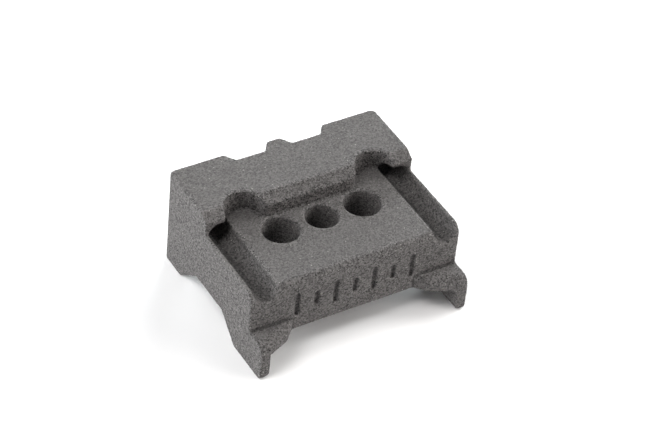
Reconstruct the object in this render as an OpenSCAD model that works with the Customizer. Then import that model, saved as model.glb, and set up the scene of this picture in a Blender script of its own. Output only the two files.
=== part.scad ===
// Low-profile sintered mounting block.
// One solid piece: a deck with three through holes, a raised rear plate,
// two rod passages that open out as grooves beside the deck, and four feet.
// +X is the right side, -Y the front, +Z up. The origin is on the ground,
// in the middle of the block's width and depth. All sizes in millimetres.

/* [Overall] */
// Width over the two side faces
block_w = 50; // [48:0.5:62]
// Depth from the rear face to the tips of the front feet
block_d = 42; // [40:0.5:52]
// Height of the raised rear plate above the ground
block_h = 23.75; // [23:0.25:30]

/* [Deck] */
// Height of the deck that the fasteners clamp
deck_h = 19.15; // [17:0.05:20.5]
// Radius along the front edge of the deck
deck_edge_r = 1.3; // [0.5:0.1:2.5]
// Radius on the front top corner of each thin side wall
wall_edge_r = 2.5; // [1:0.1:4]

/* [Rear plate] */
// Depth of the raised plate, from the rear face to its front face
plate_d = 16.7; // [15:0.1:20]
// Length of the bevel on the plate's front edge, measured front to back
bevel_run = 2.5; // [1:0.1:4]
// Fall of that bevel
bevel_drop = 1.45; // [0.5:0.05:2.5]
// Radius on the two upright rear corners
rear_corner_r = 0.9; // [0.5:0.1:4]

/* [Round reliefs in the rear plate] */
// Radius of each relief
relief_r = 4.4; // [3:0.1:5.5]
// Distance from the rod axis inwards to the relief's centre
relief_inset = 5.75; // [5:0.05:7]
// Distance from the relief's centre forwards to the plate's front face
relief_setback = 0.6; // [0:0.1:2]
// Radius on the upright edge outside each relief, where it meets the plate's front
relief_outer_r = 0.9; // [0.3:0.1:1.5]
// Radius on the upright edge between each relief and the middle of the plate
relief_inner_r = 1.6; // [0.3:0.1:2.2]

/* [Rod passages] */
// Diameter of each passage
rod_d = 5.5; // [4:0.1:6.5]
// Depth of the passages' axis below the deck, which gives the grooves a light snap
rod_drop = 0.7; // [0:0.1:1]
// Thickness of the side wall at its thinnest, beside the rod
side_wall = 0.75; // [0.6:0.05:2]

/* [Fastener holes] */
// Diameter of the two outer holes
outer_hole_d = 8.15; // [6:0.05:9]
// Diameter of the middle hole
middle_hole_d = 7.3; // [5:0.05:9]
// Distance between neighbouring hole centres
hole_pitch = 9.85; // [9:0.05:12]
// Distance from the rear plate's front face to the row of holes
hole_setback = 4.75; // [4.3:0.05:9]

/* [Rear face grooves] */
// Depth of each upright groove
groove_depth = 2.5; // [1:0.1:4]
// Distance from the middle of the block to a groove's near edge
groove_inner = 1.6; // [1:0.1:4]
// Width of a groove at the rear face
groove_mouth = 10.35; // [8:0.05:12]
// Width that each sloping side of a groove takes up
groove_side = 1.75; // [0.5:0.05:3]

/* [Feet] */
// Height of the block's underside above the ground
under_h = 5.3; // [3:0.1:8]
// Thickness of the four feet, across the block
foot_t = 2.35; // [1.5:0.05:6]
// Flat length of each rear foot on the ground
heel_flat = 6.8; // [4:0.1:10]
// Length of the slope in front of each rear foot
heel_run = 6.9; // [2:0.1:9]
// Flat length of each front foot on the ground
toe_flat = 11.4; // [6:0.1:14]
// Length of the slope behind each front foot
toe_run = 5.7; // [2:0.1:8]
// Radius on the inner bottom edge of each foot
foot_edge_r = 1.4; // [0.3:0.1:1.4]
// Radius on the bottom edge of the front feet's tips
toe_tip_r = 1; // [0.3:0.1:2]

/* [Front shelves] */
// How far the front feet reach out past the block's front face
toe_reach = 5.5; // [3:0.1:8]
// Height of the shelf that ties each front foot to the front face
shelf_h = 9; // [7.6:0.1:12]
// Radius along the shelf's rounded front edge
shelf_edge_r = 2.2; // [0.5:0.1:2.2]
// Radius along the edge of the shelf's 45 degree start
shelf_start_r = 1; // [0.3:0.1:2.2]
// Reach of the shelf along the front face, from the side face
shelf_w = 10.35; // [8:0.05:13]
// Length of the shelf's 45 degree start at the front face, front to back
shelf_bevel = 2.7; // [1:0.1:2.9]
// Step between the shelf's outline and the tip of the foot
shelf_step = 0.6; // [0:0.1:1]

/* [Index marks on the front face] */
// Number of upright marks
mark_count = 7; // [0:1:9]
// Distance between marks
mark_pitch = 4.6; // [2:0.1:4.6]
// Width of one mark
mark_w = 1; // [0.5:0.1:1.2]
// Height of the long marks
mark_h = 6; // [3:0.1:7]
// Height of the short marks between them
mark_short_h = 3.6; // [2:0.1:6]
// Depth of the marks
mark_depth = 0.8; // [0.2:0.05:1.2]
// Height of the row's middle above the ground
mark_z = 12.2; // [11:0.1:14]

/* [Hidden] */

$fn = 96;
past = 1;  // how far a cutter runs past the faces that it opens

half_w = block_w / 2;
rear_y = block_d / 2;
tip_y = -block_d / 2;
front_y = tip_y + toe_reach;
plate_y = rear_y - plate_d;
rod_x = half_w - side_wall - rod_d / 2;
rod_z = deck_h - rod_drop;
hole_y = plate_y - hole_setback;
foot_x = half_w - foot_t;

// A square corner's waste: what is cut away to leave a round of radius r.
// The corner is at the origin and the material lies towards -X and -Y.
module corner_waste(r) {
    difference() {
        translate([-r, -r]) square(r + past);
        translate([-r, -r]) circle(r);
    }
}

// The block seen from its right side: first axis front to back, second up.
module side_outline() {
    difference() {
        polygon([
            [rear_y, 0],
            [rear_y, block_h],
            [plate_y + bevel_run, block_h],
            [plate_y, block_h - bevel_drop],
            [plate_y, deck_h],
            [front_y, deck_h],
            [front_y, shelf_h],
            [tip_y, shelf_h],
            [tip_y, 0],
            [tip_y + toe_flat, 0],
            [tip_y + toe_flat + toe_run, under_h],
            [rear_y - heel_flat - heel_run, under_h],
            [rear_y - heel_flat, 0],
        ]);
        translate([front_y, deck_h]) rotate(90) corner_waste(deck_edge_r);
        translate([tip_y, shelf_h]) rotate(90) corner_waste(shelf_edge_r);
        translate([tip_y, 0]) rotate(180) corner_waste(toe_tip_r);
    }
}

// Extrudes a side outline across the block, from one x to another.
module across(x0, x1) {
    translate([x0, 0, 0]) rotate([90, 0, 90]) linear_extrude(x1 - x0) children();
}

// The clear space under the block, between the left and right feet.
module between_feet() {
    inner = 2 * foot_x;
    translate([-foot_x, -rear_y - past, -past]) cube([inner, block_d + 2 * past, under_h + past]);
    // rounded inner bottom edge of the feet, on both sides
    for (side = [0, 1]) mirror([side, 0, 0])
        translate([foot_x, rear_y + past, 0]) rotate([90, 0, 0])
            linear_extrude(block_d + 2 * past) rotate(180) corner_waste(foot_edge_r);
}

// Outline in plan of the space in front of the front face, between the shelves.
shelf_outline = [
    [half_w - shelf_w, front_y],
    [half_w - shelf_w + shelf_bevel, front_y - shelf_bevel],
    [foot_x, tip_y + shelf_step],
];

module between_shelves() {
    near = shelf_outline[0];
    bend = shelf_outline[1];
    last = shelf_outline[2];
    translate([0, 0, -past]) linear_extrude(shelf_h + 2 * past)
        polygon([
            near, bend, last,
            [foot_x, tip_y - past],
            [-foot_x, tip_y - past],
            [-last[0], last[1]],
            [-bend[0], bend[1]],
            [-near[0], near[1]],
        ]);
}

// Rounds the top edge of the right shelf between two points of its outline.
module shelf_round(from, to, r) {
    run = to - from;
    angle = atan2(run[1], run[0]);
    translate([from[0], from[1], shelf_h]) rotate([0, 0, angle])
        translate([-past, 0, 0]) rotate([90, 0, 90])
            linear_extrude(norm(run) + 2 * past) rotate(90) corner_waste(r);
}

// The rounds stay between the feet and in front of the front face.
module shelf_rounds() {
    intersection() {
        translate([-foot_x, tip_y - past, under_h])
            cube([2 * foot_x, toe_reach + past, shelf_h - under_h + past]);
        for (side = [0, 1]) mirror([side, 0, 0]) {
            shelf_round(shelf_outline[0], shelf_outline[1], shelf_start_r);
            shelf_round(shelf_outline[1], shelf_outline[2], shelf_edge_r);
        }
    }
}

// Rounds the front top corner of the two thin walls outside the grooves.
module wall_rounds() {
    for (side = [0, 1]) mirror([side, 0, 0])
        across(rod_x, half_w + past)
            translate([front_y, deck_h]) rotate(90) corner_waste(wall_edge_r);
}

module rear_corner_rounds() {
    for (side = [0, 1]) mirror([side, 0, 0])
        translate([half_w, rear_y, -past])
            linear_extrude(block_h + 2 * past) corner_waste(rear_corner_r);
}

// Two upright grooves in the rear face, with sloping sides.
module rear_grooves() {
    outer = groove_inner + groove_mouth;
    slope = groove_side / groove_depth;
    for (side = [0, 1]) mirror([side, 0, 0])
        translate([0, 0, -past]) linear_extrude(block_h + 2 * past)
            polygon([
                [groove_inner - past * slope, rear_y + past],
                [groove_inner + groove_side, rear_y - groove_depth],
                [outer - groove_side, rear_y - groove_depth],
                [outer + past * slope, rear_y + past],
            ]);
}

// Round reliefs that clear the deck's rear corners out of the raised plate.
module plate_reliefs() {
    for (side = [-1, 1])
        translate([side * (rod_x - relief_inset), plate_y + relief_setback, deck_h])
            cylinder(r = relief_r, h = block_h - deck_h + past);
}

// What rounds off the upright edge where a relief opens through the plate's front.
// Seen in plan, with the relief's centre at the origin and the edge towards +X.
module relief_edge_waste(r) {
    face = -relief_setback;
    reach = sqrt(pow(relief_r + r, 2) - pow(face + r, 2));
    centre = [reach, face + r];
    touch = centre * relief_r / (relief_r + r);
    difference() {
        polygon([[reach, face], centre, touch, [0, 0], [0, face - past], [reach, face - past]]);
        translate(centre) circle(r);
    }
}

module relief_rounds() {
    for (side = [0, 1]) mirror([side, 0, 0])
        translate([rod_x - relief_inset, plate_y + relief_setback, deck_h])
            linear_extrude(block_h - deck_h + past) {
                relief_edge_waste(relief_outer_r);
                mirror([1, 0]) relief_edge_waste(relief_inner_r);
            }
}

// Round holes through the raised plate that run on as open grooves beside the deck.
module rod_passages() {
    for (side = [-1, 1])
        translate([side * rod_x, rear_y + past, rod_z]) rotate([90, 0, 0])
            cylinder(d = rod_d, h = block_d + 2 * past);
}

module fastener_hole(d) {
    translate([0, 0, under_h - past]) cylinder(d = d, h = deck_h - under_h + 2 * past);
}

module fastener_holes() {
    translate([0, hole_y, 0]) {
        fastener_hole(middle_hole_d);
        for (side = [-1, 1]) translate([side * hole_pitch, 0, 0]) fastener_hole(outer_hole_d);
    }
}

// A plain row of long and short upright marks, with round ends.
module index_marks() {
    for (i = [0 : mark_count - 1]) {
        tall = i % 2 == 0 ? mark_h : mark_short_h;
        reach = (tall - mark_w) / 2;
        translate([(i - (mark_count - 1) / 2) * mark_pitch, front_y + mark_depth, mark_z])
            rotate([90, 0, 0]) linear_extrude(mark_depth + past) {
                square([mark_w, 2 * reach], center = true);
                for (end = [-1, 1]) translate([0, end * reach]) circle(d = mark_w);
            }
    }
}

module mounting_block() {
    color("#4b4b4e")
    difference() {
        across(-half_w, half_w) side_outline();
        between_feet();
        between_shelves();
        shelf_rounds();
        wall_rounds();
        rear_corner_rounds();
        rear_grooves();
        plate_reliefs();
        relief_rounds();
        rod_passages();
        fastener_holes();
        index_marks();
    }
}

mounting_block();
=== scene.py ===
"""Looks for a laser-sintered mounting block: its grainy body and a plain studio."""

import math

import bpy
import numpy as np
from bpy.props import (
    FloatProperty,
    FloatVectorProperty,
    IntProperty,
    PointerProperty,
)
from mathutils import Matrix, Quaternion, Vector, noise


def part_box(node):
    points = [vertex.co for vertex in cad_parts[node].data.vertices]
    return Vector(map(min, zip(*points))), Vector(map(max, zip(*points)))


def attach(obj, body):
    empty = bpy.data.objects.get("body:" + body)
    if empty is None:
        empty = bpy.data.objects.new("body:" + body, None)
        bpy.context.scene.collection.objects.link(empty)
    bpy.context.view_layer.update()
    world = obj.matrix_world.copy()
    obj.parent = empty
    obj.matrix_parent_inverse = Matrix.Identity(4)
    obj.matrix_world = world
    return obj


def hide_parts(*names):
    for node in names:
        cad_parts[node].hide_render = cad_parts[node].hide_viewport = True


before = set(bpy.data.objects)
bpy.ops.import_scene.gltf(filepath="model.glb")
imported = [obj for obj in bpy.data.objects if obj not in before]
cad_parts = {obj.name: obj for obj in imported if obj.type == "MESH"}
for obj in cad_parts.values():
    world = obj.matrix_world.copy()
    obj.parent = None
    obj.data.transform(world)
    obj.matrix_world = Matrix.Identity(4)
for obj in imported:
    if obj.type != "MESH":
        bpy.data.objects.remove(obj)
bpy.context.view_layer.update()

bl_info = {
    "name": "Sintered Mounting Block",
    "version": (1, 0, 0),
    "blender": (4, 5, 0),
    "location": "View3D > Sidebar > Block",
    "description": "Makes the grainy sintered body of the mounting block and its studio",
    "category": "Add Mesh",
}

MM = 0.001
BLOCK_NODE = "mounting_block"


# Sizes and colours -----------------------------------------------------------


class BlockBodySettings(bpy.types.PropertyGroup):
    """Sizes of the sintered body's surface."""

    cell: FloatProperty(
        name="Cell",
        description="Width of one face of the body's mesh",
        default=0.21 * MM,
        min=0.1 * MM,
        max=1.0 * MM,
        precision=5,
        unit="LENGTH",
    )
    edge_passes: IntProperty(
        name="Edge passes",
        description="How many times the edges are relaxed, which sets how round they are",
        default=9,
        min=0,
        max=40,
    )
    grain_size: FloatProperty(
        name="Grain size",
        description="Width of one powder grain that stands out on the surface",
        default=0.17 * MM,
        min=0.1 * MM,
        max=2.0 * MM,
        precision=5,
        unit="LENGTH",
    )
    grain_depth: FloatProperty(
        name="Grain depth",
        description="How far the grains stand out of the surface",
        default=0.08 * MM,
        min=0.0,
        max=0.5 * MM,
        precision=5,
        unit="LENGTH",
    )
    ripple_depth: FloatProperty(
        name="Ripple depth",
        description="How far the surface wanders over a few millimetres",
        default=0.02 * MM,
        min=0.0,
        max=0.5 * MM,
        precision=5,
        unit="LENGTH",
    )
    pit_depth: FloatProperty(
        name="Pit depth",
        description="Depth of the small pit in the deck beside the middle hole",
        default=0.3 * MM,
        min=0.0,
        max=1.0 * MM,
        precision=5,
        unit="LENGTH",
    )


class BlockFinishSettings(bpy.types.PropertyGroup):
    """Colours of the sintered nylon."""

    nylon: FloatVectorProperty(
        name="Nylon",
        description="Colour of the dyed nylon",
        subtype="COLOR",
        default=(0.110, 0.105, 0.103),
        min=0.0,
        max=1.0,
    )
    speck: FloatVectorProperty(
        name="Speck",
        description="Colour of the pale grains that sparkle",
        subtype="COLOR",
        default=(0.36, 0.35, 0.33),
        min=0.0,
        max=1.0,
    )
    roughness: FloatProperty(
        name="Roughness",
        description="Roughness of the surface",
        subtype="FACTOR",
        default=0.88,
        min=0.0,
        max=1.0,
    )
    grain_width: FloatProperty(
        name="Grain width",
        description="Width of the light and dark grains in the colour",
        default=0.29 * MM,
        min=0.05 * MM,
        max=2.0 * MM,
        precision=5,
        unit="LENGTH",
    )


class BlockStudioSettings(bpy.types.PropertyGroup):
    """The floor, the lights and the camera."""

    floor: FloatVectorProperty(
        name="Floor",
        description="Colour of the floor",
        subtype="COLOR",
        default=(0.9, 0.9, 0.9),
        min=0.0,
        max=1.0,
    )
    floor_width: FloatProperty(
        name="Floor width",
        description="Width of the square floor",
        default=4.0,
        min=0.5,
        max=20.0,
        unit="LENGTH",
    )
    sky: FloatProperty(
        name="Sky",
        description="Strength of the even light from all round",
        default=0.05,
        min=0.0,
        max=5.0,
    )
    azimuth: FloatProperty(
        name="Azimuth",
        description="How far the camera stands round from the front, to the right",
        default=math.radians(-34.104),
        subtype="ANGLE",
    )
    elevation: FloatProperty(
        name="Elevation",
        description="How high the camera looks down from",
        default=math.radians(41.088),
        subtype="ANGLE",
    )
    roll: FloatProperty(
        name="Roll",
        description="How far the camera leans",
        default=math.radians(5.978),
        subtype="ANGLE",
    )
    distance: FloatProperty(
        name="Distance",
        description="From the camera to the point that it looks at",
        default=512.0 * MM,
        unit="LENGTH",
    )
    lens: FloatProperty(
        name="Lens",
        description="Focal length in millimetres on a 36 mm sensor",
        default=134.32,
        min=10.0,
        max=500.0,
    )


# Node helpers ----------------------------------------------------------------


def add_node(tree, kind, place, **inputs):
    """Adds a shader node and sets its unlinked inputs and its own settings."""
    made = tree.nodes.new(kind)
    made.location = place
    for name, value in inputs.items():
        socket = name.replace("_", " ")
        if socket in made.inputs:
            made.inputs[socket].default_value = value
        else:
            setattr(made, name, value)
    return made


def join(tree, source, output, target, entry):
    """Links one node's output to another node's input."""
    tree.links.new(source.outputs[output], target.inputs[entry])


def add_math(tree, place, operation, *entries):
    """Adds a maths node. Each entry is a number, or a node with the name of its output."""
    made = add_node(tree, "ShaderNodeMath", place, operation=operation)
    for socket, entry in zip(made.inputs, entries):
        if isinstance(entry, tuple):
            source, output = entry
            tree.links.new(source.outputs[output], socket)
        else:
            socket.default_value = entry
    return made


def centre(tree, place, source, width, middle):
    """Stretches a number that runs from nought to one to a width about a middle."""
    return add_math(tree, place, "MULTIPLY_ADD", source, width, middle - width / 2)


# The finish ------------------------------------------------------------------

# Spread of tone, as a share of the colour, from grain to grain, in the dust and in
# blotches, and how many blotches there are.
GRAIN_CONTRAST = 0.55
DUST_CONTRAST = 1.3
BLOTCH_CONTRAST = 0.16
BLOTCHES_PER_METRE = 260.0
# Pale sparkling grains: how far apart they may lie, their size as a share of that, and
# the share of places that have one on a face, and besides that on an edge.
SPARK_PITCH = 0.55 * MM
SPARK_SIZE = 0.2
FACE_SPARKS = 0.05
EDGE_SPARKS = 0.32
# Height of the relief that is finer than the mesh.
FINE_RELIEF = 0.2 * MM


def sintered_nylon(finish):
    """Dyed sintered nylon: light and dark grains, faint blotches, a few pale sparkles, and
    painted shade and paler edges from the mesh.
    """
    material = bpy.data.materials.new("sintered_nylon")
    material.use_nodes = True
    tree = material.node_tree
    tree.nodes.clear()

    coords = add_node(tree, "ShaderNodeTexCoord", (-1400, 0))
    per_grain = 1.0 / finish.grain_width

    grains = add_node(
        tree, "ShaderNodeTexVoronoi", (-1150, 300), Scale=per_grain, Randomness=1.0
    )
    join(tree, coords, "Object", grains, "Vector")
    grain_tone = add_node(tree, "ShaderNodeSeparateColor", (-950, 300))
    join(tree, grains, "Color", grain_tone, "Color")

    powder = add_node(
        tree,
        "ShaderNodeTexNoise",
        (-1150, 0),
        Scale=per_grain * 0.8,
        Detail=3.0,
        Roughness=0.75,
    )
    join(tree, coords, "Object", powder, "Vector")

    blotch = add_node(
        tree,
        "ShaderNodeTexNoise",
        (-1150, -250),
        Scale=BLOTCHES_PER_METRE,
        Detail=2.0,
        Roughness=0.5,
    )
    join(tree, coords, "Object", blotch, "Vector")

    # Grain is how far a spot's tone lies from the mean, about nought.
    cells = centre(tree, (-700, 300), (grain_tone, "Red"), GRAIN_CONTRAST, 0.0)
    dust = centre(tree, (-700, 100), (powder, "Fac"), DUST_CONTRAST, 0.0)
    grain = add_math(tree, (-500, 200), "ADD", (cells, "Value"), (dust, "Value"))

    # Walls show their grains more than faces that lie flat in the powder bed; the extra on
    # walls is partly painted shade of the grains' relief under grazing light.
    show = add_node(tree, "ShaderNodeAttribute", (-900, 550), attribute_name="grain_and_relief_shade")
    seen = add_math(tree, (-300, 300), "MULTIPLY", (grain, "Value"), (show, "Fac"))
    patch = centre(tree, (-500, -50), (blotch, "Fac"), BLOTCH_CONTRAST, 1.0)
    tone = add_math(tree, (-150, 150), "ADD", (seen, "Value"), (patch, "Value"))
    # Painted shade darkens the creases and the step's front, and outer edges are painted
    # paler.
    shade_and_edges = add_node(tree, "ShaderNodeAttribute", (-300, 500), attribute_name="painted_shade_and_pale_edges")
    shade = add_math(tree, (0, 250), "MULTIPLY", (tone, "Value"), (shade_and_edges, "Fac"))

    dyed = add_node(tree, "ShaderNodeVectorMath", (150, 200), operation="SCALE")
    dyed.inputs[0].default_value = finish.nylon
    join(tree, shade, "Value", dyed, "Scale")

    # A few pale grains catch the light.
    sparks = add_node(
        tree, "ShaderNodeTexVoronoi", (-1150, -550), Scale=1.0 / SPARK_PITCH, Randomness=1.0
    )
    join(tree, coords, "Object", sparks, "Vector")
    spark_pick = add_node(tree, "ShaderNodeSeparateColor", (-950, -650))
    join(tree, sparks, "Color", spark_pick, "Color")
    more = add_node(tree, "ShaderNodeAttribute", (-1150, -800), attribute_name="spark_show")
    likely = add_math(
        tree, (-850, -750), "MULTIPLY_ADD", (more, "Fac"), EDGE_SPARKS, (spark_pick, "Green")
    )
    few = add_math(tree, (-750, -650), "GREATER_THAN", (likely, "Value"), 1 - FACE_SPARKS)
    small = add_math(tree, (-750, -500), "LESS_THAN", (sparks, "Distance"), SPARK_SIZE)
    spark = add_math(tree, (-550, -550), "MULTIPLY", (few, "Value"), (small, "Value"))

    paint = add_node(tree, "ShaderNodeMix", (250, 100), data_type="RGBA")
    join(tree, spark, "Value", paint, "Factor")
    tree.links.new(dyed.outputs["Vector"], paint.inputs[6])
    paint.inputs[7].default_value = (*finish.speck, 1.0)

    # Fine relief that is smaller than the mesh.
    fine = add_node(
        tree,
        "ShaderNodeTexNoise",
        (-300, -350),
        Scale=per_grain * 2.4,
        Detail=2.0,
        Roughness=0.6,
    )
    join(tree, coords, "Object", fine, "Vector")
    bump = add_node(
        tree, "ShaderNodeBump", (250, -300), Strength=1.0, Distance=FINE_RELIEF
    )
    join(tree, fine, "Fac", bump, "Height")

    surface = add_node(
        tree,
        "ShaderNodeBsdfPrincipled",
        (500, 100),
        Roughness=finish.roughness,
    )
    surface.inputs["Specular IOR Level"].default_value = 0.3
    tree.links.new(paint.outputs[2], surface.inputs["Base Color"])
    join(tree, bump, "Normal", surface, "Normal")
    out = add_node(tree, "ShaderNodeOutputMaterial", (800, 100))
    join(tree, surface, "BSDF", out, "Surface")
    return material


def studio_white(colour):
    """Matt paper for the floor."""
    material = bpy.data.materials.new("studio_floor")
    material.use_nodes = True
    surface = material.node_tree.nodes["Principled BSDF"]
    surface.inputs["Base Color"].default_value = (*colour, 1.0)
    surface.inputs["Roughness"].default_value = 0.9
    surface.inputs["Specular IOR Level"].default_value = 0.1
    return material


# The body --------------------------------------------------------------------


def apply_modifiers(thing):
    """Bakes an object's modifiers into its mesh."""
    graph = bpy.context.evaluated_depsgraph_get()
    mesh = bpy.data.meshes.new_from_object(thing.evaluated_get(graph), depsgraph=graph)
    thing.modifiers.clear()
    old = thing.data
    thing.data = mesh
    bpy.data.meshes.remove(old)


def read_points(mesh):
    """A mesh's points as an array of rows."""
    points = np.empty(len(mesh.vertices) * 3)
    mesh.vertices.foreach_get("co", points)
    return points.reshape(-1, 3)


def read_normals(mesh):
    """The normals at a mesh's points as an array of rows."""
    normals = np.empty(len(mesh.vertices) * 3)
    mesh.vertex_normals.foreach_get("vector", normals)
    return normals.reshape(-1, 3)


def neighbours(mesh):
    """Makes a function that gives the mean over each point's neighbours."""
    count = len(mesh.vertices)
    ends = np.empty(len(mesh.edges) * 2, dtype=np.int64)
    mesh.edges.foreach_get("vertices", ends)
    first, second = ends.reshape(-1, 2).T
    share = np.bincount(first, minlength=count) + np.bincount(second, minlength=count)

    def around(values):
        """The mean of each point's neighbours, for one number or one row per point."""
        if values.ndim == 2:
            return np.stack([around(column) for column in values.T], axis=1)
        total = np.bincount(first, values[second], count)
        total += np.bincount(second, values[first], count)
        return total / share

    return around


def spread(values, around, passes):
    """Blurs one number per point over its neighbours."""
    for _ in range(passes):
        values = (values + around(values)) / 2
    return values


def bend(points, normals, around, passes):
    """How far each point stands out from its neighbours: above nought on an outer edge."""
    out = np.einsum("ij,ij->i", points - around(points), normals)
    return spread(out, around, passes)


def rise(values, low, high):
    """Nought up to a low value, one from a high value on, and straight between them."""
    return np.clip((values - low) / (high - low), 0, 1)


def inside(points, box):
    """Which points lie in a box, given by its low and high corners."""
    return np.all((points > box[0]) & (points < box[1]), axis=1)


def store(mesh, name, values):
    """Keeps one number per point for the material to read."""
    layer = mesh.attributes.new(name, "FLOAT", "POINT")
    layer.data.foreach_set("value", values.astype(np.float32))


# The body is made in millimetres, and so are all the sizes and places down to the operator.
WELD_GAP = 0.0005

# How far a point stands out at a full edge, corner, crease or curve, in mesh cells.
EDGE_BEND = 0.12
CORNER_BEND = 0.08
CREASE_BEND = (0.03, 0.09)
CURVE_BEND = 0.014
# How far one pass moves a point towards its neighbours, on a face and in an inner corner.
FACE_EASE = 0.5
CORNER_EASE = 0.08
# How level a face has to be to count as flat in the powder bed, from hardly to fully.
LEVEL = (0.7, 0.98)
# How many times a bend or an edge is blurred to find what lies near it.
BLUR_PASSES = 6

# How strongly grains show on a wall, how much less on a level face, and how much more
# on an edge and on the step; the extra is partly painted shade of the grains' relief.
WALL_GRAIN = 1.9
LEVEL_GRAIN_LOSS = 0.75
EDGE_GRAIN = 0.4
STEP_GRAIN = 0.7
# How much paler an outer edge is painted, and how much painted shade darkens a crease and
# the step's front.
EDGE_PALER = 0.04
CREASE_PAINTED_SHADE = 0.5
STEP_PAINTED_SHADE = 0.12
# The least share of its painted shade that a crease keeps near an edge, and how fast it gets
# there.
EDGE_KEEPS = 0.25
EDGE_FADE = 3
# The share of its painted shade that a crease keeps in front of the shelves, on the step and
# in the marks.
SHELF_KEEPS = 0.2
STEP_KEEPS = 0.4
MARKS_KEEP = 0.3
# The share of an edge's sparkles that the toes have all over.
TOE_SPARKS = 0.55

# A small pit in the deck beside the middle hole.
PIT_PLACE = (4.67, 1.48, 19.15)
PIT_WIDTH = 0.3
# In front of here the shelves blend into the toes with no dark crease.
SHELF_BLEND = -16.3
# The step up to the rear plate: its front gets painted shade all over, not just at its foot.
STEP_BOX = ((-20.2, 3.5, 18.9), (20.2, 9.6, 23.7))
# The insides of the index marks, which are too shallow to hold much shade.
MARKS_BOX = ((-15.0, -15.3, 9.0), (15.0, -14.3, 15.6))
# The tips of the front feet, where more grains catch the light.
TOES_BOX = ((-25.3, -21.3, -0.2), (25.3, -18.5, 4.5))

# The relief's coarse grains, as a multiple of the fine ones, and where their noise starts.
COARSE_GRAIN = 2.3
COARSE_START = Vector((31.7, 5.3, 12.1))
# The coarse grains' height and how far the whole skin sits back, as shares of the fine
# grains' height.
COARSE_SHARE = 0.5
SIT_BACK = 0.1
# Length of one slow wave of the surface.
RIPPLE_LENGTH = 3.1


def voxel_skin(block, cell):
    """Turns the block's solid into one even mesh of small cells."""
    weld = block.modifiers.new("weld", "WELD")
    weld.merge_threshold = WELD_GAP
    skin = block.modifiers.new("skin", "REMESH")
    skin.mode = "VOXEL"
    skin.voxel_size = cell
    skin.use_smooth_shade = True
    apply_modifiers(block)


def soften_edges(mesh, around, stand_out, passes):
    """Wears the outer edges round and leaves the inner corners crisp."""
    points = read_points(mesh)
    corner = rise(-stand_out, 0, CORNER_BEND)
    ease = FACE_EASE - (FACE_EASE - CORNER_EASE) * corner
    for _ in range(passes):
        points += ease[:, None] * (around(points) - points)
    mesh.vertices.foreach_set("co", points.ravel())
    mesh.update()


def store_tones(mesh, around, stand_out, cell):
    """Keeps each point's grain strength (partly painted relief shade), its painted shade and
    paler edges, and its sparkles.
    """
    points = read_points(mesh)
    normals = read_normals(mesh)
    outer = rise(bend(points, normals, around, 1) / cell, 0, EDGE_BEND)

    # A crease is two half-bent points with a flat one between them.
    deep = np.clip(-stand_out, 0, None)
    inner = rise(deep + 2 * around(deep), *CREASE_BEND)
    inner *= np.clip(1 - EDGE_FADE * spread(outer, around, BLUR_PASSES), EDGE_KEEPS, 1)
    inner[points[:, 1] < SHELF_BLEND] *= SHELF_KEEPS
    on_step = inside(points, STEP_BOX)
    inner[on_step] *= STEP_KEEPS
    inner[inside(points, MARKS_BOX)] *= MARKS_KEEP

    step_face = on_step * np.clip(-normals[:, 1], 0, 1)
    blurred = bend(points, normals, around, BLUR_PASSES)
    curved = rise(np.abs(blurred) / cell, 0, CURVE_BEND)
    flat = rise(np.abs(normals[:, 2]), *LEVEL) * (1 - curved)
    # Grain strength: partly the grains' own tone, partly painted shade of their relief, more
    # on walls, edges and the step.
    grain = WALL_GRAIN - LEVEL_GRAIN_LOSS * flat + EDGE_GRAIN * outer
    grain += STEP_GRAIN * step_face
    # Painted shade: creases and the step's front darker; outer edges painted paler.
    tone = 1.0 + EDGE_PALER * outer - CREASE_PAINTED_SHADE * inner - STEP_PAINTED_SHADE * step_face
    sparks = np.maximum(outer, TOE_SPARKS * inside(points, TOES_BOX))
    store(mesh, "grain_and_relief_shade", grain)
    store(mesh, "painted_shade_and_pale_edges", tone)
    store(mesh, "spark_show", sparks)


def raise_grain(mesh, body):
    """Moves each point along its normal: fine and coarse grains, slow waves and the pit."""
    points = read_points(mesh)
    from_pit = np.linalg.norm(points - np.array(PIT_PLACE), axis=1)
    lift = -body.pit_depth * np.exp(-((from_pit / PIT_WIDTH) ** 2))
    grain = body.grain_size / MM
    for i, point in enumerate(points):
        at = Vector(point)
        fine = noise.noise(at / grain)
        coarse = noise.noise(at / (grain * COARSE_GRAIN) + COARSE_START)
        ripple = noise.noise(at / RIPPLE_LENGTH)
        lift[i] += body.grain_depth * (fine + COARSE_SHARE * coarse - SIT_BACK)
        lift[i] += body.ripple_depth * ripple
    points += read_normals(mesh) * (lift[:, None] / MM)
    mesh.vertices.foreach_set("co", points.ravel())


def grainy_body(body):
    """The block's own solid with soft sintered edges and a grainy skin."""
    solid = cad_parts[BLOCK_NODE]
    block = bpy.data.objects.new("sintered_block", solid.data.copy())
    bpy.context.scene.collection.objects.link(block)
    block.data.materials.clear()
    block.data.transform(Matrix.Scale(1 / MM, 4))

    cell = body.cell / MM
    voxel_skin(block, cell)
    mesh = block.data
    around = neighbours(mesh)
    stand_out = bend(read_points(mesh), read_normals(mesh), around, 1) / cell
    soften_edges(mesh, around, stand_out, body.edge_passes)
    store_tones(mesh, around, stand_out, cell)
    raise_grain(mesh, body)
    mesh.transform(Matrix.Scale(MM, 4))
    mesh.update()
    return block


class BLOCK_OT_body(bpy.types.Operator):
    """Makes the sintered body with its soft edges and grainy skin"""

    bl_idname = "block.body"
    bl_label = "Sintered body"

    def execute(self, context):
        scene = context.scene
        block = grainy_body(scene.block_body)
        if not block.data.polygons:
            raise RuntimeError("the body's mesh is empty")
        block.data.materials.append(sintered_nylon(scene.block_finish))
        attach(block, "root")
        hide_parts(BLOCK_NODE)
        return {"FINISHED"}


# The studio ------------------------------------------------------------------


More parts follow.
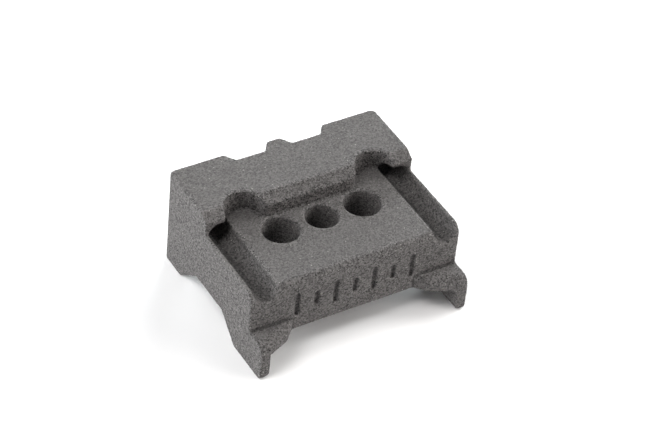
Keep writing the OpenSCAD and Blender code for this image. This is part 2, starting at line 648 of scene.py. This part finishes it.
def look_from(azimuth, elevation):
    """The direction from the object towards a camera or a light."""
    return Vector(
        (
            math.sin(azimuth) * math.cos(elevation),
            -math.cos(azimuth) * math.cos(elevation),
            math.sin(elevation),
        )
    )


def add_softbox(name, azimuth, elevation, power, colour):
    """Adds a square soft light that faces the object."""
    lamp = bpy.data.lights.new(name, "AREA")
    lamp.shape = "SQUARE"
    lamp.size = SOFTBOX_WIDTH
    lamp.energy = power
    lamp.color = colour
    thing = bpy.data.objects.new(name, lamp)
    bpy.context.scene.collection.objects.link(thing)
    back = look_from(math.radians(azimuth), math.radians(elevation))
    thing.location = back * SOFTBOX_DISTANCE
    thing.rotation_mode = "QUATERNION"
    thing.rotation_quaternion = (-back).to_track_quat("-Z", "Y")


SOFTBOX_DISTANCE = 1.2
SOFTBOX_WIDTH = 0.6
SOFTBOXES = (
    # name, azimuth, elevation, power, colour
    ("back_right", 135.0, 12.0, 18.6, (0.94, 0.985, 1.0)),
    ("back_left", -135.0, 12.0, 14.2, (0.94, 0.98, 1.0)),
    ("right", 90.0, 35.0, 11.6, (1.0, 1.0, 0.99)),
    ("left_high", -90.0, 60.0, 8.0, (1.0, 0.99, 0.985)),
    ("left_low", -90.0, 12.0, 6.5, (1.0, 0.98, 0.985)),
    ("front_low", 45.0, 12.0, 6.5, (1.0, 0.94, 0.91)),
    ("front_high", 45.0, 35.0, 3.4, (1.0, 0.97, 0.95)),
    ("back", 180.0, 35.0, 2.4, (0.97, 0.99, 1.0)),
    ("left", -90.0, 35.0, 1.8, (1.0, 0.98, 0.985)),
)


# From the middle of the block to the point that the camera looks at.
CAMERA_AIM = Vector((4.32, 5.75, 0.99)) * MM


class BLOCK_OT_studio(bpy.types.Operator):
    """Makes the floor, the soft lights and the camera"""

    bl_idname = "block.studio"
    bl_label = "Studio"

    def execute(self, context):
        scene = context.scene
        studio = scene.block_studio

        half = studio.floor_width / 2
        mesh = bpy.data.meshes.new("studio_floor")
        corners = [(-half, -half, 0), (half, -half, 0), (half, half, 0), (-half, half, 0)]
        mesh.from_pydata(corners, [], [(0, 1, 2, 3)])
        mesh.materials.append(studio_white(studio.floor))
        floor = bpy.data.objects.new("studio_floor", mesh)
        scene.collection.objects.link(floor)

        world = bpy.data.worlds.new("studio_sky")
        world.use_nodes = True
        sky = world.node_tree.nodes["Background"]
        sky.inputs["Color"].default_value = (1.0, 1.0, 1.0, 1.0)
        sky.inputs["Strength"].default_value = studio.sky
        scene.world = world
        for row in SOFTBOXES:
            add_softbox(*row)

        low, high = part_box(BLOCK_NODE)
        aim = (low + high) / 2 + CAMERA_AIM
        back = look_from(studio.azimuth, studio.elevation)
        lens = bpy.data.cameras.new("studio_camera")
        lens.sensor_width = 36.0
        lens.lens = studio.lens
        lens.clip_start = 0.01
        lens.clip_end = 20.0
        camera = bpy.data.objects.new("studio_camera", lens)
        scene.collection.objects.link(camera)
        camera.location = aim + back * studio.distance
        camera.rotation_mode = "QUATERNION"
        turn = (-back).to_track_quat("-Z", "Y")
        camera.rotation_quaternion = turn @ Quaternion((0, 0, 1), studio.roll)
        scene.camera = camera
        scene.view_settings.view_transform = "Standard"
        return {"FINISHED"}


# The sidebar -----------------------------------------------------------------


class BLOCK_PT_sidebar(bpy.types.Panel):
    """Lists the sizes, the colours and the buttons"""

    bl_idname = "BLOCK_PT_sidebar"
    bl_label = "Mounting Block"
    bl_space_type = "VIEW_3D"
    bl_region_type = "UI"
    bl_category = "Block"

    def draw(self, context):
        scene = context.scene
        for heading, settings, button in (
            ("Body", scene.block_body, "block.body"),
            ("Finish", scene.block_finish, None),
            ("Studio", scene.block_studio, "block.studio"),
        ):
            box = self.layout.box()
            box.label(text=heading)
            for name in settings.__annotations__:
                box.prop(settings, name)
            if button:
                box.operator(button)


CLASSES = (
    BlockBodySettings,
    BlockFinishSettings,
    BlockStudioSettings,
    BLOCK_OT_body,
    BLOCK_OT_studio,
    BLOCK_PT_sidebar,
)


def register():
    for made in CLASSES:
        bpy.utils.register_class(made)
    bpy.types.Scene.block_body = PointerProperty(type=BlockBodySettings)
    bpy.types.Scene.block_finish = PointerProperty(type=BlockFinishSettings)
    bpy.types.Scene.block_studio = PointerProperty(type=BlockStudioSettings)


def unregister():
    del bpy.types.Scene.block_studio
    del bpy.types.Scene.block_finish
    del bpy.types.Scene.block_body
    for made in reversed(CLASSES):
        bpy.utils.unregister_class(made)


def main():
    """Registers the tools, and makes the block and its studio."""
    register()
    bpy.ops.block.body()
    bpy.ops.block.studio()


if __name__ == "__main__":
    main()
